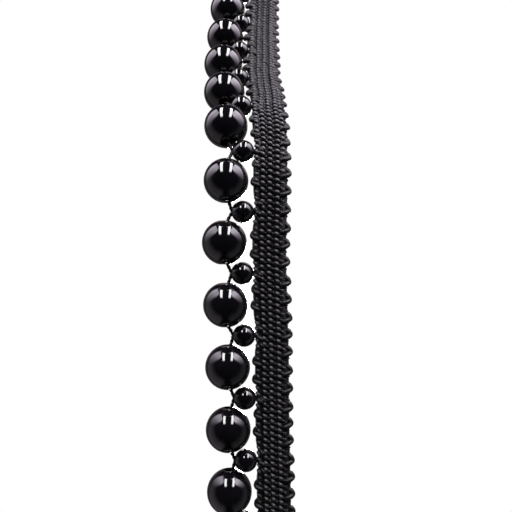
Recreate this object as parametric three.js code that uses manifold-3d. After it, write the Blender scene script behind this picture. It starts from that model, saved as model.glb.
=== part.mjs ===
// A hanging length of black bead trim: a narrow braid with picot loops on both edges and, along its
// left edge, one thread that carries large beads end to end and ties in a small bead between each two.
// Millimetres, +Z up, +X to the right of the face, -Y towards the viewer. The origin is the middle of
// the braid's top edge, where the trim is held. From there it comes down and forward, turns over and
// hangs plumb.
//
// Each piece is laid out on the flat trim by three sizes: down, along the trim from its top edge;
// across, to the right of the braid's middle; and out, in front of the braid's middle plane.
import * as THREE from "three";
import { mergeVertices } from "three/addons/utils/BufferGeometryUtils.js";
import Module from "manifold-3d";

// How the trim hangs, a row for each place where the slope changes. lean is in degrees back from
// plumb, and sway is how far the braid's middle has drifted to the right of its top edge.
const HANG_ROWS = [
  { down: 0, lean: 29, sway: 0 },
  { down: 22, lean: 40.5, sway: -0.5 },
  { down: 34, lean: 43.5, sway: -0.5 },
  { down: 46, lean: 47.5, sway: 0.25 },
  { down: 57, lean: 22.5, sway: 0.8 },
  { down: 67, lean: 0, sway: 0.8 },
  { down: 77, lean: 0, sway: 0.6 },
  { down: 100, lean: 0, sway: 1.1 },
  { down: 129.6, lean: 0, sway: 1.5 },
];
const HANG_STEP = 0.1;

// Clear space between two pieces.
const CLEARANCE = 0.3;

// Beads: across is the diameter square to the bore, and along the full height of the same outline on
// the bore's line, before the bore takes its ends off.
const LARGE_BEAD = { across: 8.15, along: 8.2, bore: 1.8, sides: 18, rings: 9 };
const SMALL_BEAD = { across: 4.1, along: 4.15, bore: 1.1, sides: 12, rings: 7 };

// The beads' spacing, and how far each bead has slipped from its even place. A small bead is tied in
// half way between two large ones, or half a pitch past the last.
const BEAD_PITCH = 11.3;
const FIRST_BEAD_DOWN = 8.3;
const LARGE_BEAD_ACROSS = -8.05;
const LARGE_BEAD_SLIPS = [
  { down: 0, across: -0.3 },
  { down: 0, across: -0.2 },
  { down: 0, across: -0.2 },
  { down: 0.1, across: -0.15 },
  { down: 0.1, across: -0.05 },
  { down: 0, across: 0 },
  { down: -0.05, across: -0.1 },
  { down: 0, across: -0.1 },
  { down: 0, across: 0 },
  { down: 0.05, across: 0 },
  { down: 0, across: 0 },
];
const SMALL_BEAD_SLIPS = [
  { down: 0 },
  { down: 0 },
  { down: 0 },
  { down: -0.05 },
  { down: -0.05 },
  { down: 0 },
  { down: 0.05 },
  { down: -0.1 },
  { down: -0.1 },
  { down: 0 },
  { down: 0 },
  { down: 0 },
];

// The thread lies towards the braid in each large bead's bore, and clear of each small bead's hole.
const THREAD = { diameter: 0.5, boreOffset: 0.27, tieClearance: 0.42, sides: 8, steps: 84 };

// The braid: its points across from edge to edge, with the rise of the face there. The three high
// ones are the rows of knitted stitches.
const BRAID_THICKNESS = 1.2;
const BRAID_EDGE_THICKNESS = 0.7;
const RIB_RISE = 0.35;
const EDGE_RISE = (BRAID_EDGE_THICKNESS - BRAID_THICKNESS) / 2;
const BRAID_COLUMNS = [
  { across: -3.05, rise: EDGE_RISE },
  { across: -2.1, rise: 0 },
  { across: -1.45, rise: RIB_RISE },
  { across: -0.8, rise: 0 },
  { across: -0.15, rise: RIB_RISE },
  { across: 0.5, rise: 0 },
  { across: 1.15, rise: RIB_RISE },
  { across: 1.85, rise: 0 },
  { across: 3.05, rise: EDGE_RISE },
];

// Picots: loops of yarn that stand out from both edges, with rows of points for each. The shifts set
// those rows beside the tips, so that a tip is blunt. Up to tieFlat from a tie the left edge has no
// picots and is drawn in by tieDraw, and from tieClear on it is whole.
const PICOT = {
  pitch: 3.24,
  rows: 4,
  left: 0.6,
  right: 1.0,
  leftShift: 0.405,
  rightShift: 2.025,
  tieDraw: 0.4,
  tieFlat: 0.9,
  tieClear: 2.2,
};

const BEAD_BLACK = new THREE.MeshStandardMaterial({ color: 0x0a0a0b, roughness: 0.08, metalness: 0 });
const BRAID_BLACK = new THREE.MeshStandardMaterial({ color: 0x141315, roughness: 0.6, metalness: 0 });
const THREAD_BLACK = new THREE.MeshStandardMaterial({ color: 0x121113, roughness: 0.55, metalness: 0 });

const wasm = await Module();
wasm.setup();

// Lengths that follow from the sizes above

const BRAID_LENGTH = HANG_ROWS.at(-1).down;
const BRAID_ROWS = Math.round((BRAID_LENGTH / PICOT.pitch) * PICOT.rows);
const TIE_EDGE = BRAID_COLUMNS[0].across + PICOT.tieDraw;
const SMALL_BEAD_HALF = boreHalf(SMALL_BEAD);
const SMALL_BEAD_ACROSS = TIE_EDGE - CLEARANCE - SMALL_BEAD_HALF;
const TIE_REACH = SMALL_BEAD_HALF + THREAD.tieClearance + THREAD.diameter / 2;
const TIE_DOWNS = SMALL_BEAD_SLIPS.map(
  (slip, index) => FIRST_BEAD_DOWN + (index - 0.5) * BEAD_PITCH + slip.down,
);

// Half of a bead's bore, from its middle to the flat round the hole.
function boreHalf({ across, along, bore }) {
  return (along / 2) * Math.sqrt(1 - (bore / across) ** 2);
}

// The hang

// A column of the hang's table at a place down the trim, eased from row to row.
function hangValue(column, down) {
  const next = HANG_ROWS.findIndex((row, index) => index > 0 && row.down >= down);
  const upper = HANG_ROWS[next - 1];
  const lower = HANG_ROWS[next];
  const share = THREE.MathUtils.smoothstep(down, upper.down, lower.down);
  return THREE.MathUtils.lerp(upper[column], lower[column], share);
}

// The braid's middle line, stepped down from its top edge.
function hangLine() {
  const points = [new THREE.Vector3()];
  const steps = Math.round(BRAID_LENGTH / HANG_STEP);
  for (let index = 1; index <= steps; index++) {
    const lean = THREE.MathUtils.degToRad(hangValue("lean", (index - 0.5) * HANG_STEP));
    const last = points[index - 1];
    const sway = hangValue("sway", Math.min(index * HANG_STEP, BRAID_LENGTH));
    const y = last.y - HANG_STEP * Math.sin(lean);
    const z = last.z - HANG_STEP * Math.cos(lean);
    points.push(new THREE.Vector3(sway, y, z));
  }
  return points;
}

const HANG_LINE = hangLine();

// The place down the trim and the three directions there: along it, across it and out of its face.
function hangFrame(down) {
  const index = Math.min(Math.floor(down / HANG_STEP), HANG_LINE.length - 2);
  const origin = HANG_LINE[index].clone().lerp(HANG_LINE[index + 1], down / HANG_STEP - index);
  const lean = THREE.MathUtils.degToRad(hangValue("lean", down));
  const along = new THREE.Vector3(0, -Math.sin(lean), -Math.cos(lean));
  const side = new THREE.Vector3(1, 0, 0);
  const front = new THREE.Vector3().crossVectors(along, side);
  return { origin, along, side, front };
}

// A point of the flat trim, moved to where it hangs.
function onTrim(down, across, out) {
  const { origin, side, front } = hangFrame(down);
  return origin.addScaledVector(side, across).addScaledVector(front, out);
}

// Solids

// A geometry with its shared points merged and nothing but positions.
function closedGeometry(geometry) {
  geometry.deleteAttribute("normal");
  geometry.deleteAttribute("uv");
  const merged = mergeVertices(geometry, 1e-4);
  merged.computeVertexNormals();
  return merged;
}

function solidOf(geometry) {
  const closed = closedGeometry(geometry);
  const vertProperties = closed.attributes.position.array;
  const triVerts = new Uint32Array(closed.index.array);
  return new wasm.Manifold(new wasm.Mesh({ numProp: 3, vertProperties, triVerts }));
}

function geometryOf(solid) {
  const { vertProperties, triVerts } = solid.getMesh();
  const geometry = new THREE.BufferGeometry();
  geometry.setAttribute("position", new THREE.BufferAttribute(vertProperties, 3));
  geometry.setIndex(new THREE.BufferAttribute(triVerts, 1));
  geometry.computeVertexNormals();
  return geometry;
}

// A round bead with its bore along Y: the outside from hole to hole, then back through the bore.
function beadGeometry({ across, along, bore, sides, rings }) {
  const holeAngle = Math.acos(bore / across);
  const profile = [];
  for (let ring = 0; ring <= rings; ring++) {
    const angle = holeAngle * ((2 * ring) / rings - 1);
    profile.push(new THREE.Vector2((across / 2) * Math.cos(angle), (along / 2) * Math.sin(angle)));
  }
  profile.push(profile[0].clone());
  return closedGeometry(new THREE.LatheGeometry(profile, sides));
}

// How far a picot stands out at a place down the trim, from 0 between two picots to 1 at a tip.
function picotShare(down, shift) {
  return 0.5 + 0.5 * Math.cos((2 * Math.PI * (down - shift)) / PICOT.pitch);
}

// How far the left edge stands out from its line, or in from it beside a tie.
function leftReach(down) {
  const tieDistance = Math.min(...TIE_DOWNS.map((tie) => Math.abs(down - tie)));
  const clear = THREE.MathUtils.smoothstep(tieDistance, PICOT.tieFlat, PICOT.tieClear);
  return THREE.MathUtils.lerp(-PICOT.tieDraw, PICOT.left * picotShare(down, PICOT.leftShift), clear);
}

function rightReach(down) {
  return PICOT.right * picotShare(down, PICOT.rightShift);
}

// The braid: a flat box whose points are moved to the ribs and picots, then to the hang.
function braidGeometry() {
  const lastColumn = BRAID_COLUMNS.length - 1;
  const box = new THREE.BoxGeometry(lastColumn, BRAID_LENGTH, BRAID_THICKNESS, lastColumn, BRAID_ROWS, 1);
  const points = box.attributes.position;
  const point = new THREE.Vector3();
  for (let index = 0; index < points.count; index++) {
    point.fromBufferAttribute(points, index);
    const down = THREE.MathUtils.clamp(BRAID_LENGTH / 2 - point.y, 0, BRAID_LENGTH);
    const column = Math.round(point.x + lastColumn / 2);
    let { across, rise } = BRAID_COLUMNS[column];
    if (column === 0) across -= leftReach(down);
    if (column === lastColumn) across += rightReach(down);
    const backRise = Math.max(-rise, 0);
    const out = point.z > 0 ? point.z + rise : point.z + backRise;
    points.setXYZ(index, ...onTrim(down, across, out));
  }
  return closedGeometry(box);
}

// Places of the beads and the thread

function largeBeadPlaces() {
  return LARGE_BEAD_SLIPS.map((slip, index) => {
    const down = FIRST_BEAD_DOWN + index * BEAD_PITCH + slip.down;
    const across = LARGE_BEAD_ACROSS + slip.across;
    return { ...hangFrame(down), centre: onTrim(down, across, 0) };
  });
}

function smallBeadPlaces() {
  return TIE_DOWNS.map((down) => ({ ...hangFrame(down), centre: onTrim(down, SMALL_BEAD_ACROSS, 0) }));
}

// The thread's run: past the outer hole of each small bead, and through each large bead.
function threadPoints(largePlaces, smallPlaces) {
  const holeReach = boreHalf(LARGE_BEAD);
  const points = [];
  smallPlaces.forEach((tie, index) => {
    points.push(tie.centre.clone().addScaledVector(tie.side, -TIE_REACH));
    const bead = largePlaces[index];
    if (!bead) return;
    const inBore = bead.centre.clone().addScaledVector(bead.side, THREAD.boreOffset);
    points.push(inBore.clone().addScaledVector(bead.along, -holeReach));
    points.push(inBore.clone().addScaledVector(bead.along, holeReach));
  });
  return points;
}

// The thread in one piece: its run, and a branch through each small bead to the braid's edge.
function threadGeometry(largePlaces, smallPlaces) {
  const radius = THREAD.diameter / 2;
  const section = new THREE.Shape().absarc(0, 0, radius, 0, 2 * Math.PI);
  const points = threadPoints(largePlaces, smallPlaces);
  const run = new THREE.ExtrudeGeometry(section, {
    extrudePath: new THREE.CatmullRomCurve3(points),
    steps: THREAD.steps,
    curveSegments: THREAD.sides / 2,
    bevelEnabled: false,
  });
  const branchLength = TIE_REACH + SMALL_BEAD_HALF;
  const branches = smallPlaces.map(({ centre, side }) => {
    const branch = new THREE.CylinderGeometry(radius, radius, branchLength, THREAD.sides);
    branch.applyQuaternion(new THREE.Quaternion().setFromUnitVectors(new THREE.Vector3(0, 1, 0), side));
    const middle = centre.clone().addScaledVector(side, (SMALL_BEAD_HALF - TIE_REACH) / 2);
    return branch.translate(middle.x, middle.y, middle.z);
  });
  return geometryOf(branches.reduce((whole, branch) => whole.add(solidOf(branch)), solidOf(run)));
}

// The trim

function namedMesh(name, geometry, material) {
  const mesh = new THREE.Mesh(geometry, material);
  mesh.name = name;
  return mesh;
}

function beadRow(prefix, geometry, places, boreDirection) {
  return places.map((place, index) => {
    const bead = namedMesh(`${prefix}_${String(index + 1).padStart(2, "0")}`, geometry, BEAD_BLACK);
    bead.quaternion.setFromUnitVectors(new THREE.Vector3(0, 1, 0), place[boreDirection]);
    bead.position.copy(place.centre);
    return bead;
  });
}

const largePlaces = largeBeadPlaces();
const smallPlaces = smallBeadPlaces();
const trim = new THREE.Group();
trim.add(namedMesh("braid", braidGeometry(), BRAID_BLACK));
trim.add(namedMesh("bead_thread", threadGeometry(largePlaces, smallPlaces), THREAD_BLACK));
trim.add(...beadRow("large_bead", beadGeometry(LARGE_BEAD), largePlaces, "along"));
trim.add(...beadRow("small_bead", beadGeometry(SMALL_BEAD), smallPlaces, "side"));

export default trim;
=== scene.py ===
"""Looks of the black bead trim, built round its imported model.

The trim is a narrow knitted braid with picot loops on both edges. Along its left edge one twisted
thread carries large lacquered beads and ties in a small bead between each two. Sizes are in
millimetres until a finished mesh is scaled to metres. The braid's yarns are laid out flat, as if
it hung plumb from its top edge, and a Geometry Nodes tree then bends them to the line it hangs in.
"""
import math

import bpy
from mathutils import Matrix, Vector


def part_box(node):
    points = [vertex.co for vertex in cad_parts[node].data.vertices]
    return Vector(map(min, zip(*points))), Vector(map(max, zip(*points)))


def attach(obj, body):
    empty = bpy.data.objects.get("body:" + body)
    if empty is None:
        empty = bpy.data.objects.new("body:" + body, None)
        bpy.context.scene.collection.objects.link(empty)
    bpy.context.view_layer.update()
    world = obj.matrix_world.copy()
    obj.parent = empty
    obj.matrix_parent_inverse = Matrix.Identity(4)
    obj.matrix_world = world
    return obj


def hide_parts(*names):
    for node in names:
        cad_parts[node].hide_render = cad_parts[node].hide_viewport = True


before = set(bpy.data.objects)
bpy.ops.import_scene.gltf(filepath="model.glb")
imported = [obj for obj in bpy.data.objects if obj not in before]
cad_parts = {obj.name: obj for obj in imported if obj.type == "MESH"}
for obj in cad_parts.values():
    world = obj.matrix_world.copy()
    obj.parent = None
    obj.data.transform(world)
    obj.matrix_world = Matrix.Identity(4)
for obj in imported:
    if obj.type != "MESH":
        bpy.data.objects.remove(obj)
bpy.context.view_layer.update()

MM = 0.001
BODY = "root"

# How the trim hangs: lean is in degrees back from plumb, and sway is how far the braid's middle has
# drifted to the right of its top edge.
HANG_ROWS = [
    {"down": 0, "lean": 29, "sway": 0},
    {"down": 22, "lean": 40.5, "sway": -0.5},
    {"down": 34, "lean": 43.5, "sway": -0.5},
    {"down": 46, "lean": 47.5, "sway": 0.25},
    {"down": 57, "lean": 22.5, "sway": 0.8},
    {"down": 67, "lean": 0, "sway": 0.8},
    {"down": 77, "lean": 0, "sway": 0.6},
    {"down": 100, "lean": 0, "sway": 1.1},
    {"down": 129.6, "lean": 0, "sway": 1.5},
]
HANG_STEP = 0.1
BRAID_LENGTH = HANG_ROWS[-1]["down"]

# Beads: across is the diameter square to the bore, along the height of the same outline on the
# bore's line, and lip the rounding at the mouth of the hole. The rest is how finely they are drawn.
LARGE_BEAD = {"across": 8.15, "along": 8.2, "bore": 1.8, "lip": 0.08, "around": 72, "rings": 40}
SMALL_BEAD = {"across": 4.1, "along": 4.15, "bore": 1.1, "lip": 0.06, "around": 48, "rings": 26}
LIP_STEPS = 5
LARGE_BEADS = 11
SMALL_BEADS = LARGE_BEADS + 1
BEAD_PITCH = 11.3
FIRST_BEAD_DOWN = 8.3
FIRST_TIE_DOWN = FIRST_BEAD_DOWN - BEAD_PITCH / 2

# The thread. In a large bead's bore it leans towards the braid, further at the holes than inside. At a
# tie it goes through the small bead, over the braid's edge into its face, and back. Its two ways
# through the small bead lie above and below the bore's middle. They are straight at the outer hole,
# and a little out towards the braid's face at the inner one. The places of the stitch in the braid
# are past the braid's edge, up and out.
THREAD = {"width": 0.6, "step": 0.14, "sides": 12, "plies": 2, "ply_depth": 0.16, "twist": 1.5}
THREAD_LEAN = 0.56
THREAD_LEAN_INSIDE = 0.3
THREAD_RISE = 0.2
OUTER_HOLE_RUN = 0.4
INNER_HOLE_OUT = 0.1
BRAID_GAP = 0.3
STITCH_INWARD = [(0.25, 0.34, 0.5), (0.75, 0.2, 0.52), (1.15, 0.05, 0.15)]
STITCH_OUTWARD = [(0.75, -0.25, 0.5), (0.25, -0.34, 0.48)]
ROUTE_STEPS = 24

# The braid. Its ground is the dense inside of the knit, between the face stitches and the back.
GROUND = {"width": 5.1, "thickness": 0.62, "middle": -0.06, "columns": 7, "rows": 400}

# The strands that repeat down the braid: places across, down and out from the middle of a row, and
# the yarn's girth there as a share of its width.
FACE_STITCH = [
    (-0.42, -0.36, 0.02, 0.55),
    (-0.34, -0.24, 0.36, 0.95),
    (-0.14, -0.06, 0.58, 1.20),
    (0.10, 0.14, 0.50, 1.10),
    (0.26, 0.28, 0.14, 0.65),
    (0.36, 0.28, 0.12, 0.50),
    (0.50, 0.36, 0.34, 0.75),
    (0.60, 0.48, 0.26, 0.70),
    (0.66, 0.58, 0.00, 0.50),
]
BACK_FLOAT = [
    (-0.06, -0.56, -0.34, 1.00),
    (-0.03, -0.32, -0.47, 1.00),
    (0.02, 0.05, -0.50, 1.10),
    (0.05, 0.38, -0.46, 1.00),
    (0.06, 0.60, -0.34, 1.00),
]
EDGE_TURN = [
    (1.75, 0.10, -0.14, 0.85),
    (2.20, -0.02, 0.05, 1.00),
    (2.55, -0.14, 0.04, 1.00),
    (2.70, -0.22, -0.08, 1.00),
    (2.55, -0.20, -0.20, 1.00),
    (2.20, -0.08, -0.28, 0.75),
    (1.20, 0.10, -0.34, 0.60),
    (-0.10, 0.20, -0.36, 0.60),
]
PICOT_LOOP = [
    (2.30, -0.74, -0.20, 0.60),
    (2.75, -0.76, -0.10, 0.85),
    (3.12, -0.56, 0.00, 1.00),
    (3.38, -0.22, 0.02, 1.00),
    (3.46, 0.10, 0.06, 1.00),
    (3.28, 0.36, 0.22, 1.00),
    (2.90, 0.52, 0.44, 1.00),
    (2.40, 0.66, 0.52, 0.85),
    (1.85, 0.90, 0.30, 0.60),
    (1.60, 1.02, 0.02, 0.45),
]
LOOP_STEPS = 3

# Yarns: the sides are how finely one is drawn. A plied yarn turns once in the length of its twist, and
# NO_TWIST is too long to show.
FACE_YARN = {"width": 0.66, "sides": 6}
BACK_YARN = {"width": 0.3, "sides": 6}
TURN_YARN = {"width": 0.9, "sides": 6}
LOOP_YARN = {"width": 0.9, "sides": 12, "plies": 3, "ply_depth": 0.03, "twist": 2.4}
NO_TWIST = BRAID_LENGTH * 100

# Rows of strands. A row starts at its first place down the braid and has its count of strands, a pitch
# apart. Uneven is how far a strand may stray, and the seed sets where to. Draw_in is the share of its
# reach that a strand gives up beside a tie. Up the leaning stretch a row moves aside, and its strands
# grow by upper_spread across and out, and by upper_fill down.
END_MARGIN = 0.62
STITCH_PITCH = 1.08
STITCH_COUNT = int((BRAID_LENGTH - 2 * END_MARGIN) / STITCH_PITCH) - 1
TURN_PITCH = STITCH_PITCH / 3
TURN_COUNT = int((BRAID_LENGTH - 2 * END_MARGIN) / TURN_PITCH)
PICOT_PITCH = 3.24
FACE_ROW = {**FACE_YARN, "pitch": STITCH_PITCH, "count": STITCH_COUNT, "uneven": 0.06, "upper_fill": 0.85}
BACK_ROW = {**BACK_YARN, "pitch": STITCH_PITCH, "count": STITCH_COUNT, "uneven": 0.03}
TURN_ROW = {
    **TURN_YARN, "first": END_MARGIN, "pitch": TURN_PITCH, "count": TURN_COUNT, "uneven": 0.012,
    "upper_spread": 1.06,
}
PICOT_ROW = {**LOOP_YARN, "pitch": PICOT_PITCH, "uneven": 0.07}

# Wales are the columns of face stitches, with floats behind them. Lag is in stitches, and a wale that
# lags still ends on the braid, because STITCH_COUNT leaves room for one stitch more. Sink is how deep
# the face stitches lie on the plumb stretch.
WALES = [
    {"name": "left_edge", "across": -2.38, "lag": 0.5, "sink": 0.34, "upper_aside": 0.3},
    {"name": "left", "across": -1.23, "lag": 0.0, "sink": 0.0, "upper_aside": 0.5},
    {"name": "middle", "across": 0.05, "lag": 0.0, "sink": 0.0, "upper_aside": 0.5},
    {"name": "right", "across": 1.44, "lag": 0.5, "sink": 0.0, "upper_aside": 0.5},
    {"name": "right_edge", "across": 2.42, "lag": 0.0, "sink": 0.42, "upper_aside": 0.15},
]
FIRST_FACE_SEED = 0
FIRST_BACK_SEED = 10

# Rows along the edges: share is a row's reach as a share of its strand's, negative on the left.
EDGE_TURNS = [
    {"name": "right", "share": 1, "seed": 20},
    {"name": "left", "share": -1, "seed": 21, "draw_in": 0.13},
]
PICOTS = [
    {"name": "right", "share": 1, "seed": 30, "first": 2.025, "count": 40, "upper_fill": 1.2},
    {
        "name": "left", "share": -0.92, "seed": 31, "first": 3.645, "count": 39, "draw_in": 0.36,
        "upper_spread": 1.18, "upper_fill": 1.42,
    },
]
TIE_LOOPS = {
    **LOOP_YARN, "share": -0.71, "seed": 40, "first": FIRST_TIE_DOWN, "pitch": BEAD_PITCH,
    "count": SMALL_BEADS, "uneven": 0.03, "upper_spread": 1.02, "upper_fill": 1.4,
}

# Where rows change: they are plain below PLUMB_DOWN, and moved and grown in full above LEAN_DOWN. Sunk
# wales come up within BEND_EASE of PLUMB_DOWN. A row is drawn in as far as TIE_FLAT from a tie, and
# reaches out in full from TIE_CLEAR on.
PLUMB_DOWN = 60
LEAN_DOWN = 30
BEND_EASE = 6
TIE_FLAT = 0.9
TIE_CLEAR = 3.6

# How a strand strays: its shares across, out and down, and how far it turns in the braid's plane, in
# radians for each millimetre that it strays out.
STRAY_SHARES = Vector((1, 0.6, 1))
TURN_PER_STRAY = 2.5

# The camera, in front of the plumb stretch. Its focal length is in the photograph's pixels.
CAMERA_PLACE = (-1.8, -146.33, -65.49)
CAMERA_FOCAL_PIXELS = 600
CAMERA_CLIP_START = 10
PHOTO_PIXELS = 512
SENSOR_WIDTH = 36


# Small helpers

def link(item):
    """Puts an object in the scene."""
    bpy.context.scene.collection.objects.link(item)
    return item


def add_node(tree, kind, inputs=(), **settings):
    """Adds a node with its settings, and each input as a value, a socket or a node's first output."""
    node = tree.nodes.new(kind)
    for name, value in settings.items():
        setattr(node, name, value)
    for key, value in dict(inputs).items():
        if isinstance(value, bpy.types.Node):
            value = value.outputs[0]
        if isinstance(value, bpy.types.NodeSocket):
            tree.links.new(value, node.inputs[key])
        else:
            node.inputs[key].default_value = value
    return node


def linear(code):
    """The linear colour of an sRGB hex value."""
    shares = [int(code[start:start + 2], 16) / 255 for start in (1, 3, 5)]
    return (*[s / 12.92 if s <= 0.04045 else ((s + 0.055) / 1.055) ** 2.4 for s in shares], 1.0)


def per_metre(size):
    """A pattern's scale on coordinates in metres, from the size of one repeat in millimetres."""
    return 1 / (size * MM)


# The hang

# The way across the trim, which is the same all the way down it.
RIGHT = Vector((1, 0, 0))


def hang_value(column, down):
    """A column of the hang's table at a place down the trim, eased from row to row."""
    lower = next(i for i, row in enumerate(HANG_ROWS) if i > 0 and row["down"] >= down)
    start, end = HANG_ROWS[lower - 1], HANG_ROWS[lower]
    share = (down - start["down"]) / (end["down"] - start["down"])
    eased = share * share * (3 - 2 * share)
    return start[column] + (end[column] - start[column]) * eased


def hang_line():
    """The braid's middle line, stepped down from its top edge."""
    points = [Vector()]
    for index in range(1, round(BRAID_LENGTH / HANG_STEP) + 1):
        lean = math.radians(hang_value("lean", (index - 0.5) * HANG_STEP))
        sway = hang_value("sway", min(index * HANG_STEP, BRAID_LENGTH))
        back = points[-1].y - HANG_STEP * math.sin(lean)
        height = points[-1].z - HANG_STEP * math.cos(lean)
        points.append(Vector((sway, back, height)))
    return points


def up_at(down):
    """The direction up the trim at a place down it."""
    lean = math.radians(hang_value("lean", down))
    return Vector((0, math.sin(lean), math.cos(lean)))


def flat(across, down, out):
    """A place on the trim as if it hung plumb."""
    return Vector((across, -out, -down))


def curve_through(name, points, kind="BEZIER", steps=1, girths=None):
    """A curve object through points, with steps from each point of a smooth one to the next."""
    curve = bpy.data.curves.new(name, "CURVE")
    curve.dimensions = "3D"
    curve.resolution_u = steps
    spline = curve.splines.new(kind)
    places = spline.bezier_points if kind == "BEZIER" else spline.points
    places.add(len(points) - 1)
    for place, point, girth in zip(places, points, girths or [1.0] * len(points)):
        place.radius = girth
        if kind == "BEZIER":
            place.co = point
            place.handle_left_type = place.handle_right_type = "AUTO"
        else:
            place.co = (*point, 1)
    return link(bpy.data.objects.new(name, curve))


# Geometry Nodes trees

GEOMETRY = "NodeSocketGeometry"
FLOAT = "NodeSocketFloat"
INT = "NodeSocketInt"
OBJECT = "NodeSocketObject"
MATERIAL = "NodeSocketMaterial"
YARN_INPUTS = {"Width": FLOAT, "Sides": INT, "Plies": INT, "Ply Depth": FLOAT, "Twist": FLOAT}


def new_tree(name, inputs):
    """An empty tree with named inputs and a geometry output, and the sockets of its inputs."""
    tree = bpy.data.node_groups.new(name, "GeometryNodeTree")
    for label, kind in inputs.items():
        tree.interface.new_socket(name=label, in_out="INPUT", socket_type=kind)
    tree.interface.new_socket(name="Geometry", in_out="OUTPUT", socket_type=GEOMETRY)
    return tree, add_node(tree, "NodeGroupInput").outputs


def hang_bend_tree():
    """Bends flat geometry to the hang line: its height gives the place along the line."""
    tree, given = new_tree("hang_bend", {"Flat": GEOMETRY, "Hang Line": OBJECT})
    line = add_node(tree, "GeometryNodeObjectInfo", {"Object": given["Hang Line"]})
    place = add_node(tree, "ShaderNodeSeparateXYZ", {0: add_node(tree, "GeometryNodeInputPosition")})
    down = add_node(tree, "ShaderNodeMath", {0: place.outputs["Z"], 1: -1.0}, operation="MULTIPLY")
    out = add_node(tree, "ShaderNodeMath", {0: place.outputs["Y"], 1: -1.0}, operation="MULTIPLY")
    along = add_node(
        tree, "GeometryNodeSampleCurve", {"Curves": line.outputs["Geometry"], "Length": down},
        mode="LENGTH", use_all_curves=True,
    )
    face = add_node(
        tree, "ShaderNodeVectorMath", {0: along.outputs["Tangent"], 1: RIGHT}, operation="CROSS_PRODUCT"
    )
    square = add_node(tree, "ShaderNodeVectorMath", {0: face}, operation="NORMALIZE")
    raised = add_node(tree, "ShaderNodeVectorMath", {0: square, "Scale": out}, operation="SCALE")
    aside = add_node(tree, "ShaderNodeCombineXYZ", {"X": place.outputs["X"]})
    shift = add_node(tree, "ShaderNodeVectorMath", {0: raised, 1: aside}, operation="ADD")
    hung = add_node(tree, "ShaderNodeVectorMath", {0: along.outputs["Position"], 1: shift}, operation="ADD")
    bent = add_node(tree, "GeometryNodeSetPosition", {"Geometry": given["Flat"], "Position": hung})
    add_node(tree, "NodeGroupOutput", {"Geometry": bent})
    return tree


def yarn_tube_tree():
    """Sweeps a yarn along a strand. Its plies turn with the strand's length, and each point keeps the
    side of the yarn that it lies on, for the yarn's finish."""
    tree, given = new_tree("yarn_tube", {"Strand": GEOMETRY, **YARN_INPUTS})
    run = add_node(tree, "GeometryNodeSplineParameter")
    turns = add_node(
        tree, "ShaderNodeMath", {0: run.outputs["Length"], 1: given["Twist"]}, operation="DIVIDE"
    )
    tilt = add_node(tree, "ShaderNodeMath", {0: turns, 1: math.tau}, operation="MULTIPLY")
    twisted = add_node(tree, "GeometryNodeSetCurveTilt", {"Curve": given["Strand"], "Tilt": tilt})
    radius = add_node(tree, "ShaderNodeMath", {0: given["Width"], 1: 0.5}, operation="MULTIPLY")
    ring = add_node(
        tree, "GeometryNodeCurvePrimitiveCircle", {"Resolution": given["Sides"], "Radius": radius}
    )
    angle = add_node(tree, "ShaderNodeMath", {0: run.outputs["Factor"], 1: math.tau}, operation="MULTIPLY")
    side = add_node(tree, "ShaderNodeCombineXYZ", {
        "X": add_node(tree, "ShaderNodeMath", {0: angle}, operation="COSINE"),
        "Y": add_node(tree, "ShaderNodeMath", {0: angle}, operation="SINE"),
    })
    marked = add_node(
        tree, "GeometryNodeStoreNamedAttribute", {"Geometry": ring, "Name": "yarn_side", "Value": side},
        data_type="FLOAT_VECTOR", domain="POINT",
    )
    ply_angle = add_node(tree, "ShaderNodeMath", {0: angle, 1: given["Plies"]}, operation="MULTIPLY")
    wave = add_node(tree, "ShaderNodeMath", {0: ply_angle}, operation="COSINE")
    swell = add_node(
        tree, "ShaderNodeMath", {0: wave, 1: given["Ply Depth"], 2: 1.0}, operation="MULTIPLY_ADD"
    )
    here = add_node(tree, "GeometryNodeInputPosition")
    lobed = add_node(tree, "ShaderNodeVectorMath", {0: here, "Scale": swell}, operation="SCALE")
    plied = add_node(tree, "GeometryNodeSetPosition", {"Geometry": marked, "Position": lobed})
    tube = add_node(tree, "GeometryNodeCurveToMesh", {
        "Curve": twisted, "Profile Curve": plied, "Fill Caps": True,
        "Scale": add_node(tree, "GeometryNodeInputRadius"),
    })
    smooth = add_node(tree, "GeometryNodeSetShadeSmooth", {"Geometry": tube})
    add_node(tree, "NodeGroupOutput", {"Geometry": smooth})
    return tree


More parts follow.
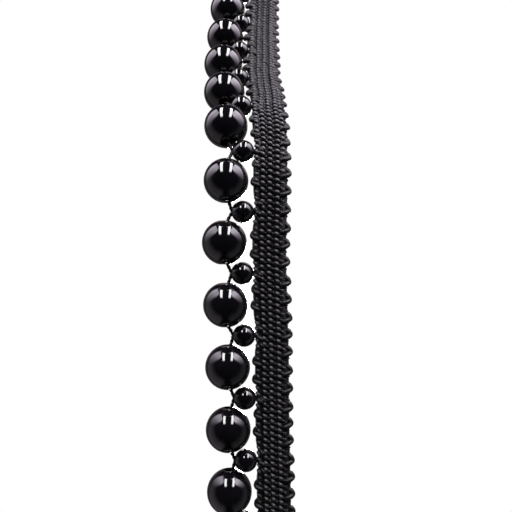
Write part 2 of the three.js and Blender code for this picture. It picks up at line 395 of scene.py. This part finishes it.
def yarn_rows_tree(yarn_tube, hang_bend):
    """Repeats one strand down the braid, a little unevenly, draws it in beside the ties, and bends the
    row to the hang line."""
    tree, given = new_tree("yarn_rows", {
        "Strand": OBJECT, "Hang Line": OBJECT, "Material": MATERIAL, "Seed": INT, **YARN_INPUTS,
        "Across": FLOAT, "Sink": FLOAT, "First": FLOAT, "Pitch": FLOAT, "Count": INT, "Uneven": FLOAT,
        "Draw In": FLOAT, "Upper Aside": FLOAT, "Upper Spread": FLOAT, "Upper Fill": FLOAT,
    })
    strand = add_node(tree, "GeometryNodeObjectInfo", {"Object": given["Strand"]})
    sizes = {label: given[label] for label in YARN_INPUTS}
    yarn = add_node(
        tree, "GeometryNodeGroup", {"Strand": strand.outputs["Geometry"], **sizes}, node_tree=yarn_tube
    )
    top = add_node(tree, "ShaderNodeMath", {0: given["First"], 1: -1.0}, operation="MULTIPLY")
    drop = add_node(tree, "ShaderNodeMath", {0: given["Pitch"], 1: -1.0}, operation="MULTIPLY")
    row = add_node(tree, "GeometryNodeMeshLine", {
        "Count": given["Count"],
        "Start Location": add_node(tree, "ShaderNodeCombineXYZ", {"X": given["Across"], "Z": top}),
        "Offset": add_node(tree, "ShaderNodeCombineXYZ", {"Z": drop}),
    })
    stray = add_node(
        tree, "FunctionNodeRandomValue", {0: -STRAY_SHARES, 1: STRAY_SHARES, "Seed": given["Seed"]},
        data_type="FLOAT_VECTOR",
    )
    strayed = add_node(
        tree, "ShaderNodeVectorMath", {0: stray, "Scale": given["Uneven"]}, operation="SCALE"
    )
    place = add_node(tree, "ShaderNodeSeparateXYZ", {0: add_node(tree, "GeometryNodeInputPosition")})
    height = place.outputs["Z"]
    aside, spread, fill = [
        add_node(tree, "ShaderNodeMapRange", {
            "Value": height, "From Min": -PLUMB_DOWN, "From Max": -LEAN_DOWN,
            "To Min": plain, "To Max": given[label],
        })
        for label, plain in (("Upper Aside", 0.0), ("Upper Spread", 1.0), ("Upper Fill", 1.0))
    ]
    sunk = add_node(tree, "ShaderNodeMapRange", {
        "Value": height, "From Min": -PLUMB_DOWN - BEND_EASE, "From Max": -PLUMB_DOWN + BEND_EASE,
        "To Min": given["Sink"], "To Max": 0.0,
    })
    moved = add_node(tree, "ShaderNodeCombineXYZ", {"X": aside, "Y": sunk})
    wander = add_node(tree, "ShaderNodeVectorMath", {0: strayed, 1: moved}, operation="ADD")
    places = add_node(tree, "GeometryNodeSetPosition", {"Geometry": row, "Offset": wander})
    past_tie = add_node(tree, "ShaderNodeMath", {0: height, 1: FIRST_TIE_DOWN}, operation="ADD")
    from_tie = add_node(tree, "ShaderNodeMath", {0: past_tie, 1: BEAD_PITCH / 2}, operation="PINGPONG")
    drawn = add_node(tree, "ShaderNodeMath", {0: 1.0, 1: given["Draw In"]}, operation="SUBTRACT")
    reach = add_node(tree, "ShaderNodeMapRange", {
        "Value": from_tie, "From Min": TIE_FLAT, "From Max": TIE_CLEAR, "To Min": drawn, "To Max": 1.0,
    }, interpolation_type="SMOOTHSTEP")
    across = add_node(tree, "ShaderNodeMath", {0: reach, 1: spread}, operation="MULTIPLY")
    size = add_node(tree, "ShaderNodeCombineXYZ", {"X": across, "Y": spread, "Z": fill})
    turn = add_node(
        tree, "ShaderNodeVectorMath", {0: strayed, 1: (0, TURN_PER_STRAY, 0)}, operation="MULTIPLY"
    )
    rows = add_node(tree, "GeometryNodeInstanceOnPoints", {
        "Points": places, "Instance": yarn, "Rotation": turn, "Scale": size,
    })
    real = add_node(tree, "GeometryNodeRealizeInstances", {"Geometry": rows})
    bent = add_node(
        tree, "GeometryNodeGroup", {"Flat": real, "Hang Line": given["Hang Line"]}, node_tree=hang_bend
    )
    done = add_node(tree, "GeometryNodeSetMaterial", {"Geometry": bent, "Material": given["Material"]})
    add_node(tree, "NodeGroupOutput", {"Geometry": done})
    return tree


def ground_tree(hang_bend):
    """A flat slab the length of the braid, bent to the hang line."""
    tree, given = new_tree("braid_ground", {
        "Hang Line": OBJECT, "Material": MATERIAL, "Width": FLOAT, "Thickness": FLOAT, "Length": FLOAT,
        "Middle": FLOAT, "Columns": INT, "Rows": INT,
    })
    slab = add_node(tree, "GeometryNodeMeshCube", {
        "Size": add_node(tree, "ShaderNodeCombineXYZ", {
            "X": given["Width"], "Y": given["Thickness"], "Z": given["Length"],
        }),
        "Vertices X": given["Columns"], "Vertices Y": 2, "Vertices Z": given["Rows"],
    })
    half = add_node(tree, "ShaderNodeMath", {0: given["Length"], 1: -0.5}, operation="MULTIPLY")
    behind = add_node(tree, "ShaderNodeMath", {0: given["Middle"], 1: -1.0}, operation="MULTIPLY")
    lowered = add_node(tree, "GeometryNodeTransform", {
        "Geometry": slab, "Translation": add_node(tree, "ShaderNodeCombineXYZ", {"Y": behind, "Z": half}),
    })
    bent = add_node(
        tree, "GeometryNodeGroup", {"Flat": lowered, "Hang Line": given["Hang Line"]}, node_tree=hang_bend
    )
    real = add_node(tree, "GeometryNodeRealizeInstances", {"Geometry": bent})
    done = add_node(tree, "GeometryNodeSetMaterial", {"Geometry": real, "Material": given["Material"]})
    add_node(tree, "NodeGroupOutput", {"Geometry": done})
    return tree


def thread_tree(yarn_tube):
    """A plied thread along its own route."""
    tree, given = new_tree("thread_run", {
        "Route": OBJECT, "Material": MATERIAL, "Step": FLOAT, **YARN_INPUTS,
    })
    route = add_node(tree, "GeometryNodeObjectInfo", {"Object": given["Route"]})
    even = add_node(
        tree, "GeometryNodeResampleCurve", {"Curve": route.outputs["Geometry"], "Length": given["Step"]},
        mode="LENGTH",
    )
    sizes = {label: given[label] for label in YARN_INPUTS}
    yarn = add_node(tree, "GeometryNodeGroup", {"Strand": even, **sizes}, node_tree=yarn_tube)
    real = add_node(tree, "GeometryNodeRealizeInstances", {"Geometry": yarn})
    done = add_node(tree, "GeometryNodeSetMaterial", {"Geometry": real, "Material": given["Material"]})
    add_node(tree, "NodeGroupOutput", {"Geometry": done})
    return tree


def grown(name, tree, sizes):
    """A plain mesh in metres, grown by a tree from its named inputs."""
    piece = link(bpy.data.objects.new(name, bpy.data.meshes.new(name)))
    modifier = piece.modifiers.new(tree.name, "NODES")
    modifier.node_group = tree
    sockets = {item.name: item.identifier for item in tree.interface.items_tree if item.in_out == "INPUT"}
    for label, value in sizes.items():
        modifier[sockets[label]] = value
    evaluated = piece.evaluated_get(bpy.context.evaluated_depsgraph_get())
    piece.data = bpy.data.meshes.new_from_object(evaluated)
    piece.modifiers.remove(modifier)
    piece.data.name = name
    piece.data.transform(Matrix.Scale(MM, 4))
    return piece


# Materials

# The beads' lacquer, and the raw plastic of their bores. Where the lacquer has pooled it is dullest and has
# a mauve cast, and it has a faint ripple all over. Sizes and depths are in millimetres.
LACQUER_DARK = "#060607"
LACQUER_MAUVE = "#100e13"
LACQUER_SMOOTHEST = 0.03
LACQUER_DULLEST = 0.075
LACQUER_SHINE = 0.5
LACQUER_COAT = 0.3
LACQUER_IOR = 1.5
POOL_SIZE = 2.4
RIPPLE_SIZE = 0.9
RIPPLE_DEPTH = 0.03
RIPPLE_STRENGTH = 0.05
RAW_ROUGHNESS = 0.9
ABS_IOR = 1.54

# The yarns' finishes: glint is the strength of the reflections, and fibres the lines round the yarn.
YARN_FINISHES = {
    "bright": {
        "name": "bright_filament_polyester", "dark": "#0e0f0f", "light": "#1c1d1d",
        "roughness": 0.47, "glint": 0.97, "sheen": 0.04, "fibres": 7,
    },
    "ground": {
        "name": "dense_black_polyester", "dark": "#131414", "light": "#1d1e1e",
        "roughness": 0.8, "glint": 0.06, "sheen": 0.01, "fibres": 5,
    },
    "spun": {
        "name": "spun_black_polyester", "dark": "#0a0b0b", "light": "#151616",
        "roughness": 0.36, "glint": 0.22, "sheen": 0.02, "fibres": 5,
    },
    "picot": {
        "name": "plied_black_polyester", "dark": "#0b0b0c", "light": "#161617",
        "roughness": 0.42, "glint": 0.36, "sheen": 0.04, "fibres": 5,
    },
    "thread": {
        "name": "twisted_polyester_thread", "dark": "#08080a", "light": "#141316",
        "roughness": 0.4, "glint": 0.45, "sheen": 0.04, "fibres": 6,
    },
}

# All yarns: how much smoother and rougher a yarn is with its fuzz, and how far its fibre lines stand out
# from it. Sizes and depths are in millimetres.
FUZZ_SIZE = 0.22
FUZZ_SMOOTHER = 0.08
FUZZ_ROUGHER = 0.1
FIBRE_RELIEF = 0.35
RELIEF_DEPTH = 0.04
RELIEF_STRENGTH = 0.45
POLYESTER_IOR = 1.54
GLINT_COLOUR = "#f4edf6"
SHEEN_COLOUR = "#b9b0bd"
SHEEN_ROUGHNESS = 0.35

# The floor's paper, with faint clouds of a size in millimetres.
PAPER_DARK = "#dedcda"
PAPER_LIGHT = "#e8e6e4"
PAPER_ROUGHNESS = 0.9
PAPER_CLOUD_SIZE = 120


def new_material(name):
    """A node material, its tree and its shader."""
    material = bpy.data.materials.new(name)
    material.use_nodes = True
    return material, material.node_tree, material.node_tree.nodes["Principled BSDF"]


def lacquered_abs():
    """Moulded ABS dipped in black pearl lacquer: sharp bright reflections on a nearly black body, softened
    here and there where the lacquer has pooled, with a mauve cast in its depth. The drilled bore is raw and
    dull, so that no light shows round the thread."""
    material, tree, shader = new_material("pearl_lacquered_black_abs")
    place = add_node(tree, "ShaderNodeTexCoord").outputs["Object"]
    pools = add_node(
        tree, "ShaderNodeTexNoise", {"Vector": place, "Scale": per_metre(POOL_SIZE), "Detail": 2.0}
    )
    depth = add_node(
        tree, "ShaderNodeMix", {0: pools, 6: linear(LACQUER_DARK), 7: linear(LACQUER_MAUVE)},
        data_type="RGBA",
    )
    gloss = add_node(
        tree, "ShaderNodeMapRange", {"Value": pools, "To Min": LACQUER_SMOOTHEST, "To Max": LACQUER_DULLEST}
    )
    raw = add_node(tree, "ShaderNodeAttribute", attribute_name="raw_bore").outputs["Fac"]
    finish = add_node(tree, "ShaderNodeMix", {0: raw, 2: gloss, 3: RAW_ROUGHNESS}, data_type="FLOAT")
    shine = add_node(tree, "ShaderNodeMapRange", {"Value": raw, "To Min": LACQUER_SHINE, "To Max": 0.0})
    coat = add_node(tree, "ShaderNodeMapRange", {"Value": raw, "To Min": LACQUER_COAT, "To Max": 0.0})
    skin = add_node(
        tree, "ShaderNodeTexNoise", {"Vector": place, "Scale": per_metre(RIPPLE_SIZE), "Detail": 1.0}
    )
    ripple = add_node(tree, "ShaderNodeBump", {
        "Height": skin, "Strength": RIPPLE_STRENGTH, "Distance": RIPPLE_DEPTH * MM,
    })
    tree.links.new(depth.outputs[2], shader.inputs["Base Color"])
    tree.links.new(finish.outputs[0], shader.inputs["Roughness"])
    tree.links.new(shine.outputs[0], shader.inputs["Specular IOR Level"])
    tree.links.new(coat.outputs[0], shader.inputs["Coat Weight"])
    tree.links.new(ripple.outputs[0], shader.inputs["Normal"])
    shader.inputs["IOR"].default_value = ABS_IOR
    shader.inputs["Coat Roughness"].default_value = LACQUER_SMOOTHEST
    shader.inputs["Coat IOR"].default_value = LACQUER_IOR
    return material


def polyester_yarn(name, dark, light, roughness, glint, sheen, fibres):
    """Dyed polyester yarn: fibres run along it, so that its sides glint in fine lines, and loose ends give
    it a soft sheen. Real fibres are about 0.02 mm, and are drawn coarser here, so that they show."""
    material, tree, shader = new_material(name)
    place = add_node(tree, "ShaderNodeTexCoord").outputs["Object"]
    fuzz = add_node(
        tree, "ShaderNodeTexNoise", {"Vector": place, "Scale": per_metre(FUZZ_SIZE), "Detail": 3.0}
    )
    tone = add_node(
        tree, "ShaderNodeMix", {0: fuzz, 6: linear(dark), 7: linear(light)}, data_type="RGBA"
    )
    side = add_node(tree, "ShaderNodeAttribute", attribute_name="yarn_side")
    around = add_node(tree, "ShaderNodeSeparateXYZ", {0: side.outputs["Vector"]})
    angle = add_node(
        tree, "ShaderNodeMath", {0: around.outputs["Y"], 1: around.outputs["X"]}, operation="ARCTAN2"
    )
    lines = add_node(tree, "ShaderNodeMath", {0: angle, 1: float(fibres)}, operation="MULTIPLY")
    ridge = add_node(tree, "ShaderNodeMath", {0: lines}, operation="SINE")
    fibre = add_node(tree, "ShaderNodeMath", {0: ridge, 1: FIBRE_RELIEF, 2: fuzz}, operation="MULTIPLY_ADD")
    relief = add_node(tree, "ShaderNodeBump", {
        "Height": fibre, "Strength": RELIEF_STRENGTH, "Distance": RELIEF_DEPTH * MM,
    })
    worn = add_node(tree, "ShaderNodeMapRange", {
        "Value": fuzz, "To Min": roughness - FUZZ_SMOOTHER, "To Max": roughness + FUZZ_ROUGHER,
    })
    tree.links.new(tone.outputs[2], shader.inputs["Base Color"])
    tree.links.new(worn.outputs[0], shader.inputs["Roughness"])
    tree.links.new(relief.outputs[0], shader.inputs["Normal"])
    shader.inputs["IOR"].default_value = POLYESTER_IOR
    shader.inputs["Specular IOR Level"].default_value = glint
    shader.inputs["Specular Tint"].default_value = linear(GLINT_COLOUR)
    shader.inputs["Sheen Weight"].default_value = sheen
    shader.inputs["Sheen Roughness"].default_value = SHEEN_ROUGHNESS
    shader.inputs["Sheen Tint"].default_value = linear(SHEEN_COLOUR)
    return material


def studio_paper():
    """Pale matte paper with a faint unevenness, for the floor."""
    material, tree, shader = new_material("pale_studio_paper")
    place = add_node(tree, "ShaderNodeTexCoord").outputs["Object"]
    cloud = add_node(
        tree, "ShaderNodeTexNoise", {"Vector": place, "Scale": per_metre(PAPER_CLOUD_SIZE), "Detail": 2.0}
    )
    tone = add_node(
        tree, "ShaderNodeMix", {0: cloud, 6: linear(PAPER_DARK), 7: linear(PAPER_LIGHT)}, data_type="RGBA"
    )
    tree.links.new(tone.outputs[2], shader.inputs["Base Color"])
    shader.inputs["Roughness"].default_value = PAPER_ROUGHNESS
    return material


# Beads

def bead_section(size):
    """A bead's closed section as (radius, height) pairs: its outside, the two lips and the bore."""
    bore, lip = size["bore"] / 2, size["lip"]
    mouth = math.asin((bore + lip) / (size["across"] / 2 - lip))
    turns = [mouth + (math.pi - 2 * mouth) * i / size["rings"] for i in range(size["rings"] + 1)]
    outside = [(size["across"] / 2 * math.sin(t), size["along"] / 2 * math.cos(t)) for t in turns]
    middle = outside[0][1] - lip * math.cos(mouth)
    rounding = [(math.pi / 2 + mouth) * i / LIP_STEPS - mouth for i in range(1, LIP_STEPS + 1)]
    lower_lip = [(bore + lip - lip * math.sin(t), -middle - lip * math.cos(t)) for t in rounding]
    upper_lip = [(radius, -height) for radius, height in reversed(lower_lip)]
    return outside + lower_lip + upper_lip


def bead(name, size, place, turn, finish):
    """A bead with its bore, turned on its thread and set in its place."""
    section = bead_section(size)
    around, count = size["around"], len(section)
    corners = [
        (radius * math.cos(math.tau * i / around), radius * math.sin(math.tau * i / around), height)
        for i in range(around)
        for radius, height in section
    ]
    faces = [
        (i * count + j, i * count + (j + 1) % count, next_i * count + (j + 1) % count, next_i * count + j)
        for i in range(around)
        for next_i in [(i + 1) % around]
        for j in range(count)
    ]
    mesh = bpy.data.meshes.new(name)
    mesh.from_pydata(corners, [], faces)
    mesh.transform(Matrix.Translation(place) @ turn.to_4x4() @ Matrix.Scale(MM, 4))
    mesh.polygons.foreach_set("use_smooth", [True] * len(faces))
    raw_bore = mesh.attributes.new("raw_bore", "FLOAT", "POINT")
    raw_bore.data.foreach_set("value", [float(j > size["rings"]) for j in range(count)] * around)
    mesh.materials.append(finish)
    return link(bpy.data.objects.new(name, mesh))


def node_middle(node):
    """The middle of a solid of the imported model, in metres."""
    low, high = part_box(node)
    return (low + high) / 2


def lean_turn(down):
    """The turn that takes plumb to the trim's lean at a place down it."""
    return Matrix.Rotation(-math.radians(hang_value("lean", down)), 3, "X")


def make_beads(finish):
    """All beads: the large ones' bores run down the trim, the small ones' across it."""
    pieces = []
    for index in range(LARGE_BEADS):
        node = f"large_bead_{index + 1:02d}"
        turn = lean_turn(FIRST_BEAD_DOWN + index * BEAD_PITCH)
        pieces.append((bead(f"lacquered_{node}", LARGE_BEAD, node_middle(node), turn, finish), node))
    sideways = Matrix.Rotation(math.pi / 2, 3, "Y")
    for index in range(SMALL_BEADS):
        node = f"small_bead_{index + 1:02d}"
        turn = lean_turn(FIRST_TIE_DOWN + index * BEAD_PITCH) @ sideways
        pieces.append((bead(f"lacquered_{node}", SMALL_BEAD, node_middle(node), turn, finish), node))
    return pieces


# Thread

def bore_half(size):
    """Half of a bead's bore, from its middle to the mouth of the hole."""
    return size["along"] / 2 * math.sqrt(1 - (size["bore"] / size["across"]) ** 2)


def straight(start, end):
    """Points that keep a smooth curve straight from start to end: both, and a quarter of the way in."""
    return [start, start.lerp(end, 0.25), start.lerp(end, 0.75), end]


def tie_points(tie, up, places):
    """Points round the middle of a tie, from places across towards the braid, up and out."""
    front = up.cross(RIGHT)
    return [tie + RIGHT * across + up * rise + front * out for across, rise, out in places]


def thread_route():
    """The thread's points, in millimetres: down through each large bead, and at each tie through the
    small bead into the braid's face and back."""
    tie_half, bead_half = bore_half(SMALL_BEAD), bore_half(LARGE_BEAD)
    edge = tie_half + BRAID_GAP
    inward_places = [
        (-tie_half, THREAD_RISE, 0),
        (-tie_half + OUTER_HOLE_RUN, THREAD_RISE, 0),
        (tie_half, THREAD_RISE, INNER_HOLE_OUT),
        *[(edge + past, rise, out) for past, rise, out in STITCH_INWARD],
    ]
    outward_places = [
        *[(edge + past, rise, out) for past, rise, out in STITCH_OUTWARD],
        (tie_half, -THREAD_RISE, INNER_HOLE_OUT),
        (-tie_half + OUTER_HOLE_RUN, -THREAD_RISE, 0),
        (-tie_half, -THREAD_RISE, 0),
    ]
    route = []
    for index in range(SMALL_BEADS):
        tie = node_middle(f"small_bead_{index + 1:02d}") / MM
        up = up_at(FIRST_TIE_DOWN + index * BEAD_PITCH)
        if index > 0:
            inward = tie_points(tie, up, inward_places)
            route += straight(route.pop(), inward[0]) + inward[1:]
        if index < LARGE_BEADS:
            outward = tie_points(tie, up, outward_places)
            middle = node_middle(f"large_bead_{index + 1:02d}") / MM
            bore = up_at(FIRST_BEAD_DOWN + index * BEAD_PITCH) * bead_half
            route += outward[:-1] + straight(outward[-1], middle + bore + RIGHT * THREAD_LEAN)
            route.append(middle + RIGHT * THREAD_LEAN_INSIDE)
            route.append(middle - bore + RIGHT * THREAD_LEAN)
    return route


# Braid

def strand_curve(name, rows, share=1, steps=1):
    """The curve of a repeated strand. A negative share of its places across turns it to the left."""
    points = [flat(across * share, down, out) for across, down, out, _ in rows]
    return curve_through(name, points, steps=steps, girths=[girth for *_, girth in rows])


def yarn_sizes(yarn):
    """A yarn's sizes under the names of a tree's inputs."""
    return {
        "Width": yarn["width"], "Sides": yarn["sides"], "Plies": yarn.get("plies", 1),
        "Ply Depth": yarn.get("ply_depth", 0.0), "Twist": yarn.get("twist", NO_TWIST),
    }


def yarn_row(name, tree, hang, strand, finish, row):
    """One row of repeated strands as a piece."""
    spread = row.get("upper_spread", 1.0)
    return grown(name, tree, {
        "Strand": strand, "Hang Line": hang, "Material": finish, "Seed": row["seed"], **yarn_sizes(row),
        "Across": row.get("across", 0.0), "Sink": row.get("sink", 0.0), "First": row["first"],
        "Pitch": row["pitch"], "Count": row["count"], "Uneven": row["uneven"],
        "Draw In": row.get("draw_in", 0.0), "Upper Aside": row.get("upper_aside", 0.0),
        "Upper Spread": spread, "Upper Fill": row.get("upper_fill", spread),
    })


def make_braid(trees, hang, finishes):
    """The braid's ground and the yarns on it."""
    ground = grown("braid_ground", trees["ground"], {
        "Hang Line": hang, "Material": finishes["ground"], "Width": GROUND["width"],
        "Thickness": GROUND["thickness"], "Length": BRAID_LENGTH, "Middle": GROUND["middle"],
        "Columns": GROUND["columns"], "Rows": GROUND["rows"],
    })
    face = strand_curve("face_stitch", FACE_STITCH)
    back = strand_curve("back_float", BACK_FLOAT)
    rows = []
    for index, wale in enumerate(WALES):
        first = END_MARGIN + wale["lag"] * STITCH_PITCH
        face_row = {**FACE_ROW, **wale, "seed": FIRST_FACE_SEED + index, "first": first}
        back_row = {**BACK_ROW, "across": wale["across"], "seed": FIRST_BACK_SEED + index, "first": first}
        rows.append((f"face_stitches_{wale['name']}", face, "bright", face_row))
        rows.append((f"back_floats_{wale['name']}", back, "bright", back_row))
    for turn in EDGE_TURNS:
        strand = strand_curve(f"edge_turn_{turn['name']}", EDGE_TURN, turn["share"])
        rows.append((f"edge_turns_{turn['name']}", strand, "spun", {**TURN_ROW, **turn}))
    tie_loop = strand_curve("tie_loop", PICOT_LOOP, TIE_LOOPS["share"], LOOP_STEPS)
    rows.append(("tie_loops", tie_loop, "picot", TIE_LOOPS))
    for picot in PICOTS:
        strand = strand_curve(f"picot_{picot['name']}", PICOT_LOOP, picot["share"], LOOP_STEPS)
        rows.append((f"picots_{picot['name']}", strand, "picot", {**PICOT_ROW, **picot}))
    return [ground] + [
        yarn_row(name, trees["yarn_rows"], hang, strand, finishes[finish], row)
        for name, strand, finish, row in rows
    ]


# Studio

# Lamps, in metres: size is width and height, glow what a lamp gives straight on, and edges are soft
# ones, in shares of its width and height.
STRIP = {"size": (0.15, 0.97), "glow": 16, "edges": [((0, 1, 0), 0.0, 0.16)]}
PANEL_COLOUR = "#efe4f5"
LAMPS = [
    {"name": "left_strip", "place": (-0.24, -0.24, 0.66), "aim": (-0.24, 0.213, 0), **STRIP},
    {"name": "right_strip", "place": (0.28, -0.24, 0.66), "aim": (0.28, 0.213, 0), **STRIP},
    {
        "name": "left_panel", "place": (-0.308, -0.012, 0.235), "aim": (0, -0.012, 0.235),
        "size": (0.49, 0.55), "glow": 4.6, "colour": PANEL_COLOUR,
        "edges": [
            ((-0.735, 0.55, 0), -0.515, -0.315),
            ((1, 0, 0), 0.04, 0.286),
            ((0, 1, 0), -0.05, 0.65),
        ],
    },
    {
        "name": "right_panel", "place": (0.292, -0.067, 0.235), "aim": (0, -0.067, 0.235),
        "size": (0.46, 0.55), "glow": 7.5, "colour": PANEL_COLOUR,
        "edges": [
            ((0.69, 0.55, 0), 0.2275, 0.4275),
            ((-1, 0, 0), -1.0, -0.75),
            ((0, 1, 0), -0.05, 0.65),
        ],
    },
    {
        "name": "rim_card", "place": (0.03, 0.08, 0.02), "aim": (-0.008, -0.02, -0.04),
        "size": (0.22, 0.12), "glow": 0.8, "colour": "#f6dede",
        "edges": [
            ((1, 0, 0), 0.0, 0.3),
            ((-1, 0, 0), -1.0, -0.7),
            ((0, 1, 0), 0.0, 0.3),
            ((0, -1, 0), -1.0, -0.7),
        ],
    },
    {
        "name": "back_lamp", "place": (0.05, 0.55, -0.1), "aim": (0.05, 0, -0.1), "size": (0.14, 0.1),
        "glow": 110,
    },
]
FLOOR_HALF = 0.6
FLOOR_LEVEL = -0.45

# The room's paler sides, left, right and behind the trim. Their edges are in directions from the trim.
ROOM_COLOUR = "#0c0c0d"
BACKDROP_COLOUR = "#ffffff"
ROOM_SIDES = [
    {
        "colour": "#8e898d",
        "edges": [
            ((-1, 0, 0), 0.1, 0.4),
            ((0, 1, -0.4), -0.5, 0.1),
            ((0, -1, 0), -0.65, -0.35),
            ((0, 0, -1), -0.7, -0.4),
        ],
    },
    {
        "colour": "#6c6a6c",
        "edges": [
            ((1, 0, 0), 0.1, 0.4),
            ((0, 1, -0.4), -0.5, 0.1),
            ((0, -1, 0), -0.55, -0.15),
            ((0, 0, -1), -0.7, -0.4),
        ],
    },
    {"colour": "#5f5c5e", "edges": [((0, 1, 0), 0.5, 0.8), ((0, 0, -1), -0.6, -0.3)]},
]


def soft_edges(tree, place, edges):
    """How far a place lies inside a patch with soft edges, from 0 to 1. An edge is a direction into the
    patch, and the places along it where the patch starts to show and shows in full."""
    share = 1.0
    for inward, start, full in edges:
        along = add_node(tree, "ShaderNodeVectorMath", {0: place, 1: inward}, operation="DOT_PRODUCT")
        edge = add_node(tree, "ShaderNodeMapRange", {
            "Value": along.outputs["Value"], "From Min": start, "From Max": full,
        }, interpolation_type="SMOOTHSTEP")
        share = add_node(tree, "ShaderNodeMath", {0: share, 1: edge}, operation="MULTIPLY")
    return share


def soft_box(name, place, aim, size, glow, colour="#ffffff", edges=()):
    """A rectangular lamp of a given glow straight on, aimed at a place and hidden from the camera."""
    lamp = bpy.data.lights.new(name, "AREA")
    lamp.shape = "RECTANGLE"
    lamp.size, lamp.size_y = size
    lamp.energy = glow * math.pi * size[0] * size[1]
    lamp.color = linear(colour)[:3]
    if edges:
        lamp.use_nodes = True
        tree = lamp.node_tree
        share = soft_edges(tree, add_node(tree, "ShaderNodeTexCoord").outputs["UV"], edges)
        tree.links.new(share.outputs[0], tree.nodes["Emission"].inputs["Strength"])
    item = link(bpy.data.objects.new(name, lamp))
    item.location = place
    item.rotation_euler = (Vector(aim) - Vector(place)).to_track_quat("-Z", "Y").to_euler()
    item.visible_camera = False


def make_floor():
    """A pale floor under the hanging trim, left out of the beads' reflections."""
    half, level = FLOOR_HALF, FLOOR_LEVEL
    corners = [(-half, -half, level), (half, -half, level), (half, half, level), (-half, half, level)]
    mesh = bpy.data.meshes.new("studio_floor")
    mesh.from_pydata(corners, [], [(0, 1, 2, 3)])
    mesh.materials.append(studio_paper())
    floor = link(bpy.data.objects.new("studio_floor", mesh))
    floor.visible_glossy = False


def make_room():
    """A dim room with paler sides, which shows white to the camera."""
    world = bpy.data.worlds.new("white_studio")
    bpy.context.scene.world = world
    world.use_nodes = True
    tree = world.node_tree
    way = add_node(tree, "ShaderNodeTexCoord").outputs["Generated"]
    room = linear(ROOM_COLOUR)
    for side in ROOM_SIDES:
        share = soft_edges(tree, way, side["edges"])
        room = add_node(
            tree, "ShaderNodeMix", {0: share, 6: room, 7: linear(side["colour"])}, data_type="RGBA"
        ).outputs[2]
    seen = add_node(tree, "ShaderNodeLightPath").outputs["Is Camera Ray"]
    backdrop = add_node(
        tree, "ShaderNodeMix", {0: seen, 6: room, 7: linear(BACKDROP_COLOUR)}, data_type="RGBA"
    )
    tree.links.new(backdrop.outputs[2], tree.nodes["Background"].inputs["Color"])


def make_studio():
    """Strip lamps above and in front of the trim, soft panels at its sides, a small card behind its upper
    beads and a lamp on its back, with a floor and a room."""
    for lamp in LAMPS:
        soft_box(**lamp)
    make_floor()
    make_room()


def make_camera():
    """The photograph's view: level, straight on to the plumb stretch of the braid."""
    lens = bpy.data.cameras.new("camera")
    lens.sensor_width = SENSOR_WIDTH
    lens.lens = SENSOR_WIDTH * CAMERA_FOCAL_PIXELS / PHOTO_PIXELS
    lens.clip_start = CAMERA_CLIP_START * MM
    camera = link(bpy.data.objects.new("camera", lens))
    camera.location = Vector(CAMERA_PLACE) * MM
    camera.rotation_euler = (math.pi / 2, 0, 0)
    bpy.context.scene.camera = camera


def main():
    """Builds the studio and the trim, attaches each piece to its body, and hides the model's solids that
    the pieces replace.
    """
    make_camera()
    make_studio()
    bpy.context.scene.view_settings.view_transform = "Standard"
    yarn_tube, hang_bend = yarn_tube_tree(), hang_bend_tree()
    trees = {
        "yarn_rows": yarn_rows_tree(yarn_tube, hang_bend),
        "ground": ground_tree(hang_bend),
        "thread": thread_tree(yarn_tube),
    }
    bead_finish = lacquered_abs()
    finishes = {key: polyester_yarn(**look) for key, look in YARN_FINISHES.items()}
    hang = curve_through("hang_line", hang_line(), kind="POLY")
    route = curve_through("thread_route", thread_route(), steps=ROUTE_STEPS)

    for piece, node in make_beads(bead_finish):
        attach(piece, BODY)
        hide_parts(node)

    thread = grown("twisted_bead_thread", trees["thread"], {
        "Route": route, "Material": finishes["thread"], "Step": THREAD["step"], **yarn_sizes(THREAD),
    })
    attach(thread, BODY)
    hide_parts("bead_thread")

    braid = make_braid(trees, hang, finishes)
    for piece in braid:
        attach(piece, BODY)
    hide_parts("braid")

    for item in [o for o in bpy.context.scene.objects if o.type == "CURVE"]:
        bpy.data.objects.remove(item)


main()
